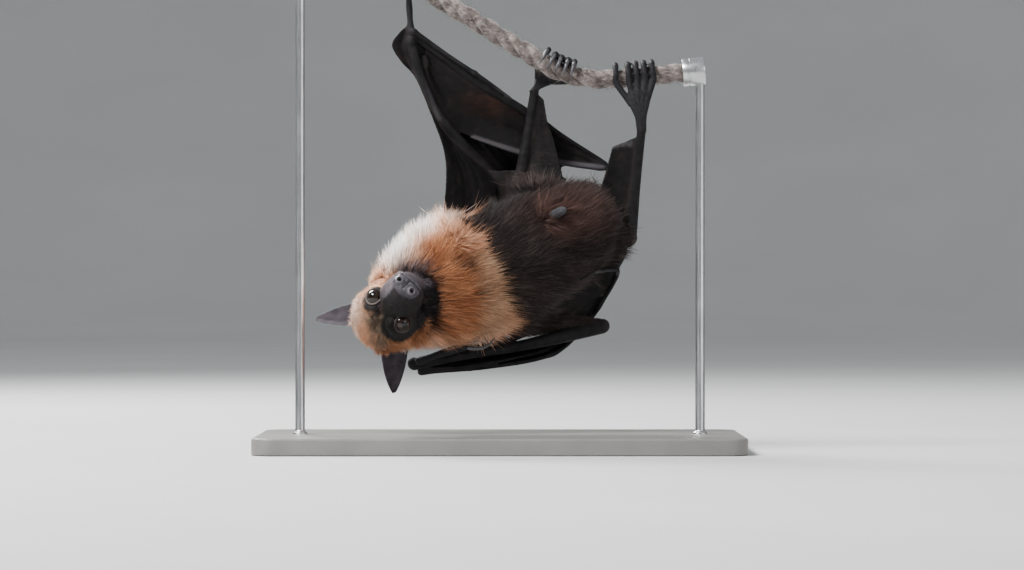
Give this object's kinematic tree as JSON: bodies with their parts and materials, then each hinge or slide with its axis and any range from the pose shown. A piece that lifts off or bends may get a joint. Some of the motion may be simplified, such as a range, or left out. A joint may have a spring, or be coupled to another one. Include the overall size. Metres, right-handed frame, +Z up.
{
  "type": "fruit bat",
  "caption": "Still life-size fruit bat hanging by feet and one thumb from a cut length of rope, one wing half folded, on a plain two-rod display stand.",
  "frame": {"origin": "on the floor under the middle of the stand's base", "axes": "+Z up, belly of the bat towards -Y, head at -X and rump at +X"},
  "size_m": [0.3, 0.164, 0.3409],
  "materials": {
    "gold_fur": "dense soft fur, golden orange with a cream edge",
    "dark_fur": "dense soft fur, seal brown",
    "black_skin": "bare wing and foot skin, fine wrinkles, slight gloss",
    "bare_grey": "bare grey skin",
    "eye": "wet glossy dark brown eye",
    "horn": "polished dark horn",
    "rope": "weathered three-strand natural fibre rope",
    "steel": "satin",
    "base_paint": "satin powder coat"
  },
  "bodies": {
    "root": {"arm_web_left": "black_skin", "claw_left_1": "horn", "claw_left_2": "horn", "claw_left_3": "horn", "claw_left_4": "horn", "claw_left_5": "horn", "claw_right_1": "horn", "claw_right_2": "horn", "claw_right_3": "horn", "claw_right_4": "horn", "claw_right_5": "horn", "ear_left": "black_skin", "ear_right": "black_skin", "eye_left": "eye", "eye_right": "eye", "finger_2_left": "black_skin", "finger_2_right": "black_skin", "finger_3_left": "black_skin", "finger_3_right": "black_skin", "finger_4_left": "black_skin", "finger_4_right": "black_skin", "finger_5_left": "black_skin", "finger_5_right": "black_skin", "flank_web_left": "black_skin", "flank_web_right": "black_skin", "foot_left": "black_skin", "foot_right": "black_skin", "forearm_left": "black_skin", "forearm_right": "black_skin", "head": "gold_fur", "neck": "gold_fur", "perch_rope": "rope", "propatagium_left": "black_skin", "propatagium_right": "black_skin", "sheath": "bare_grey", "shin_left": "black_skin", "shin_right": "black_skin", "stand_base": "base_paint", "stand_cap_left": "steel", "stand_cap_right": "steel", "stand_rod_left": "steel", "stand_rod_right": "steel", "tail_web_left": "black_skin", "tail_web_right": "black_skin", "thigh_left": "dark_fur", "thigh_right": "dark_fur", "thumb_claw_left": "horn", "thumb_claw_right": "horn", "thumb_left": "black_skin", "thumb_right": "black_skin", "trunk": "dark_fur", "upper_arm_left": "dark_fur", "upper_arm_right": "dark_fur", "web_3_4_left": "black_skin", "web_4_5_left": "black_skin", "web_fold_left": "black_skin", "web_fold_right": "black_skin"}
  },
  "joints": []
}
